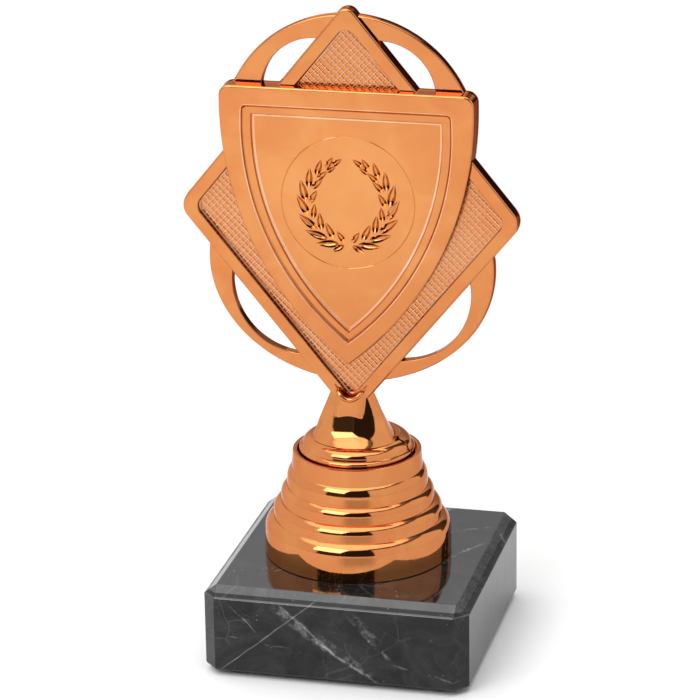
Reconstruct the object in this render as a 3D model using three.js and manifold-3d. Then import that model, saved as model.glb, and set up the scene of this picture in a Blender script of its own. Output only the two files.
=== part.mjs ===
// Small award trophy: a one-piece relief figure (ring, diamond and shield) that one
// long bolt clamps onto a stepped riser and a marble block.
//
// Millimetres, +Z up, front towards -Y. The origin is on the bolt's axis, level with
// the undersides of the four pads that the block stands on.

import * as THREE from 'three';
import { mergeVertices } from 'three/addons/utils/BufferGeometryUtils.js';
import Module from 'manifold-3d';

const wasm = await Module();
wasm.setup();

// Marble block. Its hole is bored slightly off the middle.
const BLOCK_SIZE = 50;
const BLOCK_HEIGHT = 16.4;
const BLOCK_CENTRE_X = 1.1;
const TOP_CHAMFER_WIDTH = 2.4;
const TOP_CHAMFER_DROP = 1.9;
const CORNER_CHAMFER = 2.5;
const BOTTOM_CHAMFER = 0.5;
const BLOCK_HOLE_RADIUS = 3.25;
const COUNTERBORE_RADIUS = 8;
const COUNTERBORE_DEPTH = 7.2;

// Pads stuck under the block.
const PAD_RADIUS = 4;
const PAD_HEIGHT = 1;
const PAD_FROM_CENTRE = 19;

const BLOCK_TOP = PAD_HEIGHT + BLOCK_HEIGHT;
const COUNTERBORE_TOP = PAD_HEIGHT + COUNTERBORE_DEPTH;

// Pieces that rest on each other keep this much air between them.
const SEAT_GAP = 0.05;

// Riser, measured upwards from the block's top. Each tier is a plain wall and a
// rounded shoulder that runs in to the next tier.
const TIERS = [
  { radius: 17.6, wallTop: 4.8, shoulderTop: 7.2 },
  { radius: 15.87, wallTop: 8.5, shoulderTop: 10.2 },
  { radius: 14.43, wallTop: 11.6, shoulderTop: 13.2 },
  { radius: 13.26, wallTop: 14.6, shoulderTop: 16.8 },
];
const COLLAR_RADIUS = 12.3;
const RIM_RADIUS = 12.07;
const RIM_HEIGHT = 20.2;
const SOCKET_RADIUS = 11.2;
const SOCKET_FLOOR = 18.45;
const RISER_DECK_UNDERSIDE = 16.6;
const RISER_WALL = 1.5;
const HUB_RADIUS = 4.6;
const HUB_BORE_RADIUS = 2.8;
const SHOULDER_SWEEP = THREE.MathUtils.degToRad(65);

// Figure's foot and neck, measured upwards from the block's top.
const FOOT_RADIUS = 10.87;
const FOOT_EDGE = 20.5;
const FOOT_LEDGE_RADIUS = 10.25;
const FOOT_LEDGE_TOP = 21.15;
const FOOT_STEP_RADIUS = 10.15;
const FOOT_STEP_TOP = 21.4;
const FOOT_SHOULDER_RADIUS = 8.5;
const FOOT_SHOULDER_TOP = 23;
const FOOT_COVE_RADIUS = 8;
const FOOT_TOP = 23.35;
const NECK_BASE = 23.05;
const NECK_TOP = 34.6;
const NUT_POCKET_DEPTH = 5.2;
const BOLT_POCKET_TOP = 26.4;

// The neck turns from the round foot into the flat plate. Its sections are at equal steps
// from its base to its top. Each is two half ellipses that meet where it is widest: its
// half-width in X, and the Y of its front, of its widest place and of its back.
const NECK_SECTIONS = [
  { halfWidth: 7.76, front: -8.4, widest: -2.2, back: 7.4 },
  { halfWidth: 7, front: -6.75, widest: -3.3, back: 5.5 },
  { halfWidth: 6.24, front: -5.9, widest: -3.5, back: 3.75 },
  { halfWidth: 5.48, front: -5.5, widest: -3.55, back: 2.15 },
  { halfWidth: 4.72, front: -5.25, widest: -3.2, back: 0.75 },
  { halfWidth: 3.96, front: -4.85, widest: -3, back: -0.45 },
  { halfWidth: 3.2, front: -4.2, widest: -2.6, back: -1.4 },
];

// Figure's layers, as Y positions from the common flat back to each front face.
const PLATE_BACK = -1.5;
const RING_FRONT = -3.3;
const PANEL_FLOOR = -3.3;
const DIAMOND_FRONT = -4.3;
const SHIELD_FRONT = -5.7;
const BAND_FRONT = -5.25;
const FIELD_FRONT = -4.5;
const IN_FRONT_OF_ALL = -12;

// Diamond: a rhombus, given by its centre's height, the distance from the centre to
// each edge, and the angle between the edges' normals and the vertical.
const DIAMOND_CENTRE = 66.9;
const DIAMOND_REACH = 24.9;
const DIAMOND_SIDE_ROUNDING = 3.2;
const DIAMOND_TOP_ROUNDING = 1.9;
const PANEL_REACH = 22.4;
const PANEL_ROUNDING = 2;
const DIAMOND_NORMAL = THREE.MathUtils.degToRad(50.7);

// Ring: its outer edge follows a circle above and an ellipse below, and each of the
// four windows is cut by its own circle, whose centre is given for the +X side.
const RING_UPPER = { z: 80.1, radius: 23.7, halfChord: 21.8 };
const RING_LOWER = { z: 57.1, halfWidth: 26.8, halfHeight: 22.65 };
const WINDOW_UPPER = { x: 5.9, z: 88.95, radius: 10.25 };
const WINDOW_LOWER = { x: 9.05, z: 52.6, radius: 13.4 };

// Shield outlines: a straight top and one arc down each side to the tip. The arc's
// centre is given for the +X side.
const SHIELD = { top: 90.5, arcX: -37.8, arcZ: 86.8, radius: 61.4, rounding: 2 };
const BAND = { top: 86.8, arcX: -31.6, arcZ: 82.8, radius: 51, rounding: 1 };
const FIELD = { top: 85.2, arcX: -31.9, arcZ: 82.6, radius: 49.6, rounding: 0 };

// Emblem seat on the shield: a hairline circle round an engraved wreath.
const EMBLEM_CENTRE = 69.25;
const EMBLEM_RADIUS = 12.4;
const HAIRLINE_WIDTH = 0.3;
const HAIRLINE_DEPTH = 0.15;
const LEAF_DEPTH = 0.4;
const LEAF_WIDTH = 1.2;
const TWIG_START_RADIUS = 8.2;
const TWIG_END_RADIUS = 7.4;
const INNER_LEAF_OFFSET = -0.6;
const TWIG_START_ANGLE = -84;
const TWIG_END_ANGLE = 67;

// Leaves of the +X branch, base to tip: angle of the base round the circle's centre,
// lean away from the branch's direction (outwards is positive), and length.
const OUTER_LEAVES = [
  [-84, 37, 2.5], [-77, 15, 4.2], [-61, 11, 4.3], [-42, 10, 4.3], [-21, 9, 4.4],
  [-2, 12, 4.3], [19, 15, 3.7], [40, 22, 3.1], [57, 24, 2.5], [67, 12, 2.3],
];
const INNER_LEAVES = [
  [-85, -50, 2.5], [-69, -43, 3.4], [-48, -41, 3.4], [-27, -34, 2.8],
  [-4, -34, 2.9], [19, -27, 2.9], [35, -14, 2.6], [55, -7, 2],
];

// M5 x 35 hexagon bolt, its washers and the nut in the figure's foot. Threads are
// plain cylinders: the bolt's at its mean radius, the nut's at its full radius.
const BOLT_LENGTH = 35;
const BOLT_RADIUS = 2.3;
const BOLT_TIP_CHAMFER = 0.6;
const BOLT_HEAD_FLATS = 8;
const BOLT_HEAD_HEIGHT = 3.5;
const WASHER_HOLE_RADIUS = 2.65;
const FLAT_WASHER_RADIUS = 7.5;
const FLAT_WASHER_THICKNESS = 1.2;
const SPRING_WASHER_RADIUS = 4.6;
const SPRING_WASHER_THICKNESS = 1.2;
const SPRING_WASHER_SLIT = 0.6;
const NUT_FLATS = 8;
const NUT_HEIGHT = 4;
const NUT_BORE_RADIUS = 2.5;
const NUT_POCKET_FLATS = 8.3;

// How far a cutting tool runs past the face it enters: freely, and over fine engraving.
const OVERCUT = 1;
const SKIM = 0.05;

const ROUND_SEGMENTS = 48;
const SMALL_ROUND_SEGMENTS = 24;
const CORNER_SEGMENTS = 6;
const SHOULDER_STEPS = 5;
const NECK_ROWS = 12;
const LEAF_SIDES = 6;
const HEX_SIDES = 6;

// ---------------------------------------------------------------- materials

function material(color, roughness, metalness) {
  return new THREE.MeshStandardMaterial({ color, roughness, metalness });
}

const bronzePlastic = () => material(0xd88a4e, 0.15, 0.9);
const blackMarble = () => material(0x2f2f31, 0.2, 0);
const zincSteel = () => material(0xb8bcc2, 0.35, 1);
const padFelt = () => material(0x2a2a2c, 0.95, 0);

// ------------------------------------------------------------------ helpers

function solidOf(geometry) {
  const bare = geometry.clone();
  bare.deleteAttribute('normal');
  bare.deleteAttribute('uv');
  const merged = mergeVertices(bare, 1e-5);
  return new wasm.Manifold(
    new wasm.Mesh({
      numProp: 3,
      vertProperties: new Float32Array(merged.attributes.position.array),
      triVerts: new Uint32Array(merged.index.array),
    }),
  );
}

function meshOf(name, solid, look) {
  const data = solid.getMesh();
  const geometry = new THREE.BufferGeometry();
  geometry.setAttribute('position', new THREE.BufferAttribute(data.vertProperties, 3));
  geometry.setIndex(new THREE.BufferAttribute(data.triVerts, 1));
  geometry.computeVertexNormals();
  const mesh = new THREE.Mesh(geometry, look);
  mesh.name = name;
  return mesh;
}

function joined(solids) {
  return solids.reduce((whole, solid) => whole.add(solid));
}

function prism(shape, height, segments = SMALL_ROUND_SEGMENTS) {
  return new THREE.ExtrudeGeometry(shape, {
    depth: height,
    bevelEnabled: false,
    curveSegments: segments,
  });
}

// A prism drawn in X and Z that runs from y = back forwards to y = front.
function uprightPrism(shape, back, front, segments) {
  const geometry = prism(shape, back - front, segments);
  geometry.rotateX(Math.PI / 2);
  geometry.translate(0, back, 0);
  return solidOf(geometry);
}

// A turned body about Z from [radius, height] pairs, up the outside first.
function turned(profile, segments = ROUND_SEGMENTS) {
  const points = profile.map(([radius, height]) => new THREE.Vector2(radius, height));
  const geometry = new THREE.LatheGeometry(points, segments);
  geometry.rotateX(Math.PI / 2);
  return solidOf(geometry);
}

function disc(radius, bottom, top, segments = SMALL_ROUND_SEGMENTS) {
  return turned([[0, bottom], [radius, bottom], [radius, top], [0, top]], segments);
}

function hexPrism(acrossFlats, bottom, top) {
  const cornerRadius = acrossFlats / Math.sqrt(3);
  return disc(cornerRadius, bottom, top, HEX_SIDES);
}

function circleShape({ x, z, radius }) {
  const shape = new THREE.Shape();
  shape.absarc(x, z, radius, 0, 2 * Math.PI, false);
  return shape;
}

function chamferedSquare(size, chamfer) {
  const half = size / 2;
  const inner = half - chamfer;
  return new THREE.Shape([
    new THREE.Vector2(half, -inner),
    new THREE.Vector2(half, inner),
    new THREE.Vector2(inner, half),
    new THREE.Vector2(-inner, half),
    new THREE.Vector2(-half, inner),
    new THREE.Vector2(-half, -inner),
    new THREE.Vector2(-inner, -half),
    new THREE.Vector2(inner, -half),
  ]);
}

// ------------------------------------------------------------- marble block

// The block's side view: chamfered along the top, eased along the bottom.
function blockSideView() {
  const half = BLOCK_SIZE / 2;
  return new THREE.Shape([
    new THREE.Vector2(-half + BOTTOM_CHAMFER, 0),
    new THREE.Vector2(half - BOTTOM_CHAMFER, 0),
    new THREE.Vector2(half, BOTTOM_CHAMFER),
    new THREE.Vector2(half, BLOCK_HEIGHT - TOP_CHAMFER_DROP),
    new THREE.Vector2(half - TOP_CHAMFER_WIDTH, BLOCK_HEIGHT),
    new THREE.Vector2(-half + TOP_CHAMFER_WIDTH, BLOCK_HEIGHT),
    new THREE.Vector2(-half, BLOCK_HEIGHT - TOP_CHAMFER_DROP),
    new THREE.Vector2(-half, BOTTOM_CHAMFER),
  ]);
}

function marbleBase() {
  const reach = BLOCK_SIZE;
  const plan = solidOf(prism(chamferedSquare(BLOCK_SIZE, CORNER_CHAMFER), BLOCK_HEIGHT));
  const frontView = uprightPrism(blockSideView(), reach, -reach);
  const sideView = frontView.rotate([0, 0, 90]);
  const block = plan.intersect(frontView).intersect(sideView);
  const hole = disc(BLOCK_HOLE_RADIUS, -OVERCUT, BLOCK_HEIGHT + OVERCUT);
  const counterbore = disc(COUNTERBORE_RADIUS, -OVERCUT, COUNTERBORE_DEPTH, ROUND_SEGMENTS);
  const solid = block
    .translate([BLOCK_CENTRE_X, 0, 0])
    .subtract(hole)
    .subtract(counterbore);
  const mesh = meshOf('marble_base', solid, blackMarble());
  mesh.position.z = PAD_HEIGHT;
  return mesh;
}

function basePad(name, sideX, sideY) {
  const mesh = meshOf(name, disc(PAD_RADIUS, 0, PAD_HEIGHT - SEAT_GAP), padFelt());
  mesh.position.set(BLOCK_CENTRE_X + sideX * PAD_FROM_CENTRE, sideY * PAD_FROM_CENTRE, 0);
  return mesh;
}

// -------------------------------------------------------------------- riser

// Points of one shoulder, from the top of its wall in to the next tier. The arc
// leaves the wall without a crease.
function shoulderPoints(tier, nextRadius) {
  const width = (tier.radius - nextRadius) / (1 - Math.cos(SHOULDER_SWEEP));
  const height = (tier.shoulderTop - tier.wallTop) / Math.sin(SHOULDER_SWEEP);
  return Array.from({ length: SHOULDER_STEPS + 1 }, (_, i) => {
    const angle = (SHOULDER_SWEEP * i) / SHOULDER_STEPS;
    return [
      tier.radius - width * (1 - Math.cos(angle)),
      tier.wallTop + height * Math.sin(angle),
    ];
  });
}

function riser() {
  const outside = TIERS.flatMap((tier, i) => {
    const next = TIERS[i + 1];
    return shoulderPoints(tier, next ? next.radius : COLLAR_RADIUS);
  });
  const skirtInside = TIERS[0].radius - RISER_WALL;
  const deckInside = SOCKET_RADIUS - 0.7;
  const start = [TIERS[0].radius, SEAT_GAP];
  const solid = turned([
    start,
    ...outside,
    [RIM_RADIUS, RIM_HEIGHT],
    [SOCKET_RADIUS, RIM_HEIGHT],
    [SOCKET_RADIUS, SOCKET_FLOOR],
    [HUB_BORE_RADIUS, SOCKET_FLOOR],
    [HUB_BORE_RADIUS, SEAT_GAP],
    [HUB_RADIUS, SEAT_GAP],
    [HUB_RADIUS, RISER_DECK_UNDERSIDE],
    [deckInside, RISER_DECK_UNDERSIDE],
    [skirtInside, TIERS[0].wallTop - RISER_WALL / 2],
    [skirtInside, SEAT_GAP],
    start,
  ]);
  const mesh = meshOf('riser', solid, bronzePlastic());
  mesh.position.z = BLOCK_TOP;
  return mesh;
}

// ------------------------------------------------------------------- figure

// The rhombus with rounded corners whose edges lie at the given reach from its centre.
function rhombusShape(reach, sideRounding, topRounding) {
  const normal = DIAMOND_NORMAL;
  const sideX = (reach - sideRounding) / Math.sin(normal);
  const topZ = (reach - topRounding) / Math.cos(normal);
  const slant = Math.PI / 2 - normal;
  const shape = new THREE.Shape();
  shape.absarc(sideX, DIAMOND_CENTRE, sideRounding, -slant, slant, false);
  shape.absarc(0, DIAMOND_CENTRE + topZ, topRounding, slant, Math.PI - slant, false);
  shape.absarc(-sideX, DIAMOND_CENTRE, sideRounding, Math.PI - slant, Math.PI + slant, false);
  shape.absarc(0, DIAMOND_CENTRE - topZ, topRounding, Math.PI + slant, -slant, false);
  return shape;
}

function shieldShape({ top, arcX, arcZ, radius, rounding }) {
  const filletZ = top - rounding;
  const filletX = arcX + Math.sqrt((radius - rounding) ** 2 - (filletZ - arcZ) ** 2);
  const startAngle = Math.atan2(filletZ - arcZ, filletX - arcX);
  const tipAngle = -Math.acos(-arcX / radius);
  const shape = new THREE.Shape();
  shape.absarc(arcX, arcZ, radius, tipAngle, startAngle, false);
  if (rounding > 0) {
    shape.absarc(filletX, filletZ, rounding, startAngle, Math.PI / 2, false);
    shape.absarc(-filletX, filletZ, rounding, Math.PI / 2, Math.PI - startAngle, false);
  }
  shape.absarc(-arcX, arcZ, radius, Math.PI - startAngle, Math.PI - tipAngle, false);
  return shape;
}

// The part of the upper ring's circle above a chord, which lies inside the shield.
function upperRingShape() {
  const { z, radius, halfChord } = RING_UPPER;
  const start = Math.acos(halfChord / radius);
  const shape = new THREE.Shape();
  shape.absarc(0, z, radius, start, Math.PI - start, false);
  return shape;
}

function lowerRingShape() {
  const { z, halfWidth, halfHeight } = RING_LOWER;
  const shape = new THREE.Shape();
  shape.absellipse(0, z, halfWidth, halfHeight, 0, 2 * Math.PI, false);
  return shape;
}

function ringWithWindows() {
  const onBothSides = (circle) => [circle, { ...circle, x: -circle.x }];
  const slab = (shape) => uprightPrism(shape, PLATE_BACK, RING_FRONT, ROUND_SEGMENTS);
  const cutter = (circle) =>
    uprightPrism(circleShape(circle), PLATE_BACK + OVERCUT, RING_FRONT - OVERCUT, ROUND_SEGMENTS);
  const ring = slab(upperRingShape()).add(slab(lowerRingShape()));
  const windows = [...onBothSides(WINDOW_UPPER), ...onBothSides(WINDOW_LOWER)].map(cutter);
  return ring.subtract(joined(windows));
}

function foot() {
  const bottom = SOCKET_FLOOR + SEAT_GAP;
  const ledge = { radius: FOOT_RADIUS, wallTop: FOOT_EDGE, shoulderTop: FOOT_LEDGE_TOP };
  const step = {
    radius: FOOT_STEP_RADIUS,
    wallTop: FOOT_STEP_TOP,
    shoulderTop: FOOT_SHOULDER_TOP,
  };
  return turned([
    [0, bottom],
    [FOOT_RADIUS, bottom],
    ...shoulderPoints(ledge, FOOT_LEDGE_RADIUS),
    ...shoulderPoints(step, FOOT_SHOULDER_RADIUS),
    [FOOT_COVE_RADIUS, FOOT_TOP],
    [0, FOOT_TOP],
  ]);
}

function neck() {
  const geometry = new THREE.CylinderGeometry(1, 1, 1, ROUND_SEGMENTS, NECK_ROWS);
  geometry.rotateX(Math.PI / 2);
  const position = geometry.attributes.position;
  const curveOf = (name) => {
    const steps = NECK_SECTIONS.map((section, i) => new THREE.Vector2(i, section[name]));
    return new THREE.SplineCurve(steps);
  };
  const names = ['halfWidth', 'front', 'widest', 'back'];
  const [halfWidths, fronts, widests, backs] = names.map(curveOf);
  for (let i = 0; i < position.count; i += 1) {
    const along = THREE.MathUtils.clamp(position.getZ(i) + 0.5, 0, 1);
    const widest = widests.getPoint(along).y;
    const end = position.getY(i) < 0 ? fronts : backs;
    const depth = Math.abs(end.getPoint(along).y - widest);
    position.setXYZ(
      i,
      position.getX(i) * halfWidths.getPoint(along).y,
      widest + position.getY(i) * depth,
      THREE.MathUtils.lerp(NECK_BASE, NECK_TOP, along),
    );
  }
  return solidOf(geometry);
}

function fastenerPockets() {
  const below = SOCKET_FLOOR - OVERCUT;
  const nutPocket = hexPrism(NUT_POCKET_FLATS, below, SOCKET_FLOOR + NUT_POCKET_DEPTH);
  const boltPocket = disc(HUB_BORE_RADIUS, below, BOLT_POCKET_TOP);
  return nutPocket.add(boltPocket);
}

// One leaf of the wreath, as the tool that engraves it.
function leafCutter([baseDegrees, leanDegrees, length], offset, side) {
  const along = (baseDegrees - TWIG_START_ANGLE) / (TWIG_END_ANGLE - TWIG_START_ANGLE);
  const twigRadius = THREE.MathUtils.lerp(TWIG_START_RADIUS, TWIG_END_RADIUS, along);
  const baseAngle = THREE.MathUtils.degToRad(baseDegrees);
  const direction = baseAngle + Math.PI / 2 - THREE.MathUtils.degToRad(leanDegrees);
  const reach = twigRadius + offset;
  const middleX = reach * Math.cos(baseAngle) + (length / 2) * Math.cos(direction);
  const middleZ = reach * Math.sin(baseAngle) + (length / 2) * Math.sin(direction);
  const geometry = new THREE.ConeGeometry(0.5, LEAF_DEPTH + SKIM, LEAF_SIDES);
  geometry.scale(LEAF_WIDTH, 1, length);
  geometry.rotateY(Math.PI / 2 - direction);
  const middleY = FIELD_FRONT + (LEAF_DEPTH - SKIM) / 2;
  geometry.translate(middleX, middleY, EMBLEM_CENTRE + middleZ);
  const leaf = solidOf(geometry);
  return side < 0 ? leaf.mirror([1, 0, 0]) : leaf;
}

function wreathCutters() {
  return [1, -1].flatMap((side) => [
    ...OUTER_LEAVES.map((leaf) => leafCutter(leaf, 0, side)),
    ...INNER_LEAVES.map((leaf) => leafCutter(leaf, INNER_LEAF_OFFSET, side)),
  ]);
}

// A V-shaped groove round the emblem's seat, cut from the field's front.
function hairlineCutter() {
  const half = HAIRLINE_WIDTH / 2;
  const top = [EMBLEM_RADIUS - half, -SKIM];
  return turned([
    top,
    [EMBLEM_RADIUS + half, -SKIM],
    [EMBLEM_RADIUS, HAIRLINE_DEPTH],
    top,
  ])
    .rotate([-90, 0, 0])
    .translate([0, FIELD_FRONT, EMBLEM_CENTRE]);
}

function figure() {
  const diamond = uprightPrism(
    rhombusShape(DIAMOND_REACH, DIAMOND_SIDE_ROUNDING, DIAMOND_TOP_ROUNDING),
    PLATE_BACK,
    DIAMOND_FRONT,
    CORNER_SEGMENTS,
  );
  const panel = uprightPrism(
    rhombusShape(PANEL_REACH, PANEL_ROUNDING, PANEL_ROUNDING),
    PANEL_FLOOR,
    IN_FRONT_OF_ALL,
    CORNER_SEGMENTS,
  );
  const shield = uprightPrism(shieldShape(SHIELD), PLATE_BACK, SHIELD_FRONT);
  const band = uprightPrism(shieldShape(BAND), BAND_FRONT, IN_FRONT_OF_ALL);
  const field = uprightPrism(shieldShape(FIELD), FIELD_FRONT, IN_FRONT_OF_ALL);
  const solid = ringWithWindows()
    .add(diamond)
    .add(foot())
    .add(neck())
    .subtract(panel)
    .add(shield)
    .subtract(band)
    .subtract(field)
    .subtract(joined(wreathCutters()))
    .subtract(hairlineCutter())
    .subtract(fastenerPockets());
  const mesh = meshOf('figure', solid, bronzePlastic());
  mesh.position.z = BLOCK_TOP;
  return mesh;
}

// ---------------------------------------------------------------- fasteners

function flatWasher() {
  const bottom = COUNTERBORE_TOP - SEAT_GAP - FLAT_WASHER_THICKNESS;
  const solid = disc(FLAT_WASHER_RADIUS, 0, FLAT_WASHER_THICKNESS, ROUND_SEGMENTS)
    .subtract(disc(WASHER_HOLE_RADIUS, -OVERCUT, FLAT_WASHER_THICKNESS + OVERCUT));
  const mesh = meshOf('flat_washer', solid, zincSteel());
  mesh.position.z = bottom;
  return mesh;
}

const SPRING_WASHER_BOTTOM =
  COUNTERBORE_TOP - FLAT_WASHER_THICKNESS - SPRING_WASHER_THICKNESS - 2 * SEAT_GAP;

function springWasher() {
  const slit = new THREE.BoxGeometry(
    2 * SPRING_WASHER_RADIUS,
    SPRING_WASHER_SLIT,
    4 * SPRING_WASHER_THICKNESS,
  );
  slit.translate(SPRING_WASHER_RADIUS, 0, 0);
  const solid = disc(SPRING_WASHER_RADIUS, 0, SPRING_WASHER_THICKNESS)
    .subtract(disc(WASHER_HOLE_RADIUS, -OVERCUT, SPRING_WASHER_THICKNESS + OVERCUT))
    .subtract(solidOf(slit));
  const mesh = meshOf('spring_washer', solid, zincSteel());
  mesh.position.z = SPRING_WASHER_BOTTOM;
  return mesh;
}

// The bolt's own heights start at its head's bearing face.
function clampBolt() {
  const head = hexPrism(BOLT_HEAD_FLATS, -BOLT_HEAD_HEIGHT, 0);
  const shank = turned([
    [0, -BOLT_HEAD_HEIGHT / 2],
    [BOLT_RADIUS, -BOLT_HEAD_HEIGHT / 2],
    [BOLT_RADIUS, BOLT_LENGTH - BOLT_TIP_CHAMFER],
    [BOLT_RADIUS - BOLT_TIP_CHAMFER, BOLT_LENGTH],
    [0, BOLT_LENGTH],
  ], SMALL_ROUND_SEGMENTS);
  const mesh = meshOf('clamp_bolt', head.add(shank), zincSteel());
  mesh.position.z = SPRING_WASHER_BOTTOM - SEAT_GAP;
  return mesh;
}

function captiveNut() {
  const bore = disc(NUT_BORE_RADIUS, -OVERCUT, NUT_HEIGHT + OVERCUT);
  const solid = hexPrism(NUT_FLATS, 0, NUT_HEIGHT).subtract(bore);
  const mesh = meshOf('captive_nut', solid, zincSteel());
  mesh.position.z = BLOCK_TOP + SOCKET_FLOOR + NUT_POCKET_DEPTH - NUT_HEIGHT - SEAT_GAP;
  return mesh;
}

// ----------------------------------------------------------------- assembly

const trophy = new THREE.Group();
trophy.add(marbleBase());
trophy.add(basePad('base_pad_front_left', -1, -1));
trophy.add(basePad('base_pad_front_right', 1, -1));
trophy.add(basePad('base_pad_rear_left', -1, 1));
trophy.add(basePad('base_pad_rear_right', 1, 1));
trophy.add(riser());
trophy.add(figure());
trophy.add(clampBolt());
trophy.add(springWasher());
trophy.add(flatWasher());
trophy.add(captiveNut());

export default trophy;
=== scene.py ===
import math

import bmesh
import bpy
from mathutils import Matrix, Vector


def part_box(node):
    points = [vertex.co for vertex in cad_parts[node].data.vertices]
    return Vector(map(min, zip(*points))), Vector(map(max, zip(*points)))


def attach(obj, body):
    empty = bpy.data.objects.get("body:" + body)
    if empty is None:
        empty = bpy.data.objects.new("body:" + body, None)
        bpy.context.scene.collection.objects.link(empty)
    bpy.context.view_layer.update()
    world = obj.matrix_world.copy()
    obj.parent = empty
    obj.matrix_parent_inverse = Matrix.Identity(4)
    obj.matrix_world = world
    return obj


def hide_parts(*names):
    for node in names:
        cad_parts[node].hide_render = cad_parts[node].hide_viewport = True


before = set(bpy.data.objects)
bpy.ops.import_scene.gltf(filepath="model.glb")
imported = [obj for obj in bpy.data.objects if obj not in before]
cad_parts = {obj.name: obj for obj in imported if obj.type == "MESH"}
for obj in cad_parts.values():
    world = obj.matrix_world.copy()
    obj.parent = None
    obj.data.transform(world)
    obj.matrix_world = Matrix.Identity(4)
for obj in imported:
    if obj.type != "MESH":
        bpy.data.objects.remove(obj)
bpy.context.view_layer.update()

MM = 0.001
BODY = "root"

# Shapes are drawn in millimetres and scaled when they become pieces. Heights of the
# riser and the figure are measured from the marble block's top, as in the CAD model.


def box_mm(node):
    low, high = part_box(node)
    return Vector(low) / MM, Vector(high) / MM


BLOCK_LOW, BLOCK_HIGH = box_mm("marble_base")
PAD_TOP = BLOCK_LOW.z
BLOCK_TOP = BLOCK_HIGH.z
BLOCK_CENTRE = (BLOCK_LOW + BLOCK_HIGH) / 2

# Marble block.
TOP_CHAMFER_WIDTH = 2.4
TOP_CHAMFER_DROP = 1.9
# A strip of the top chamfer that the polish has missed, as shares of the chamfer's drop.
DULL_STRIP = (0.58, 0.86)
EDGE_BEVEL = 0.14
CORNER_CHAMFER = 2.5
BOTTOM_CHAMFER = 0.5
BLOCK_HOLE_RADIUS = 3.25
COUNTERBORE_RADIUS = 8.0
COUNTERBORE_DEPTH = 7.2

# White veins: start and stop on the block's front face (X and Z), lean in X and Z per mm of
# depth, half-width, wobble, strength, scale of the patches, least strength between them.
VEINS = [
    ((-20.2, 1.3), (-2.6, 16.2), (0.3, 0.2), 0.17, 1.6, 0.34, 220, 0.5),
    ((-9.8, 14.6), (0.5, 6.8), (-0.2, 0.5), 1.3, 3.5, 0.2, 900, 0.0),
    ((-8.6, 14.8), (2.4, 5.8), (-0.2, 0.5), 0.35, 3.0, 0.3, 700, 0.1),
    ((-2.0, 8.6), (10.4, 1.0), (-0.2, 0.5), 0.4, 2.5, 0.36, 600, 0.1),
    ((-1.2, 9.8), (8.4, 2.6), (-0.2, 0.5), 0.9, 2.5, 0.14, 1100, 0.0),
    ((4.8, 13.6), (11.3, 7.0), (0.3, 0.4), 0.45, 2.5, 0.3, 700, 0.0),
    ((5.6, 14.2), (9.6, 10.0), (0.3, 0.4), 0.7, 3.5, 0.16, 1100, 0.0),
    ((-18.5, 8.0), (-8.0, 6.5), (0.6, 0.1), 0.25, 4.0, 0.14, 500, 0.0),
    ((-17.6, 14.0), (-13.6, 9.6), (0.5, 0.3), 0.2, 3.0, 0.2, 500, 0.0),
    ((13.0, 5.5), (24.0, 3.0), (0.2, 0.3), 0.3, 4.0, 0.14, 500, 0.0),
]
# Nets of hair veins: scale, width, strength, and how much of the stone has none.
VEIN_NETS = [(95, 0.02, 0.04, 0.5), (260, 0.03, 0.025, 0.5)]
# Finishes of the block: roughness, depth of the grain, shine, and tone of the stone.
MARBLE_FINISHES = [
    ("marble_polished", 0.04, 0.1, 0.75, 0.6),
    ("marble_ground", 0.13, 0.3, 0.24, 1.0),
    ("marble_chamfer", 0.13, 0.8, 0.65, 1.7),
    ("marble_chamfer_dull", 0.3, 1.0, 0.2, 0.8),
]
POLISHED, GROUND, CHAMFER, DULL_CHAMFER = range(4)

# Riser: radius of each wall, its top, and the top of the shoulder above it.
TIERS = [(17.6, 4.8, 7.2), (15.87, 8.5, 10.2), (14.43, 11.6, 13.2), (13.26, 14.6, 16.8)]
COLLAR_RADIUS = 12.3
RIM_RADIUS = 12.07
RIM_HEIGHT = 20.2
SOCKET_RADIUS = 11.2
SOCKET_FLOOR = 18.45
DECK_UNDERSIDE = 16.6
SKIRT_WALL = 1.5
HUB_RADIUS = 4.6
BORE_RADIUS = 2.8
SHOULDER_SWEEP = math.radians(65)
SEAT_GAP = 0.05
WALL_DRAFT = 0.035
# The lowest wall is straight up to this height and then bends in, by this much per mm².
WALL_STRAIGHT = 1.6
WALL_CURVE = 0.0155

# Figure: foot and neck. The ledge, step, shoulder and top are radius and height.
FOOT_RADIUS = 10.87
FOOT_EDGE = 20.5
FOOT_LEDGE = (10.25, 21.15)
FOOT_STEP = (10.15, 21.4)
FOOT_SHOULDER = (8.5, 23.0)
FOOT_TOP = (8.0, 23.35)
NECK_BASE = 23.05
NECK_TOP = 34.6
# Half-width in X, front Y, Y of the widest place, and back Y of the neck's sections, at
# equal steps up.
NECK_SECTIONS = [
    (7.76, -8.4, -2.2, 7.4),
    (6.95, -6.6, -3.2, 5.5),
    (6.24, -5.9, -3.5, 3.75),
    (5.48, -5.35, -3.4, 2.15),
    (4.72, -4.95, -3.1, 0.75),
    (3.96, -4.65, -2.9, -0.45),
    (3.2, -4.2, -2.6, -1.4),
]
# The tongue below the panel: its front Y, half-width, lower end and upper end, each with
# how far it fades to both sides.
TONGUE_FRONT = -5.55
TONGUE_HALF_WIDTH, TONGUE_SIDE_FADE = 2.2, 0.7
TONGUE_END, TONGUE_END_FADE = 28.7, 0.5
TONGUE_TOP, TONGUE_TOP_FADE = 33.0, 0.3
# The rounded lip where the panel's recess runs out through the neck.
LIP_HALF_WIDTH = 3.0
LIP_LOW = 31.55
LIP_HIGH = 34.1
LIP_RADIUS = 0.45
NUT_POCKET_FLATS = 8.3
NUT_POCKET_TOP = SOCKET_FLOOR + 5.2
BOLT_POCKET_TOP = 26.4

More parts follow.
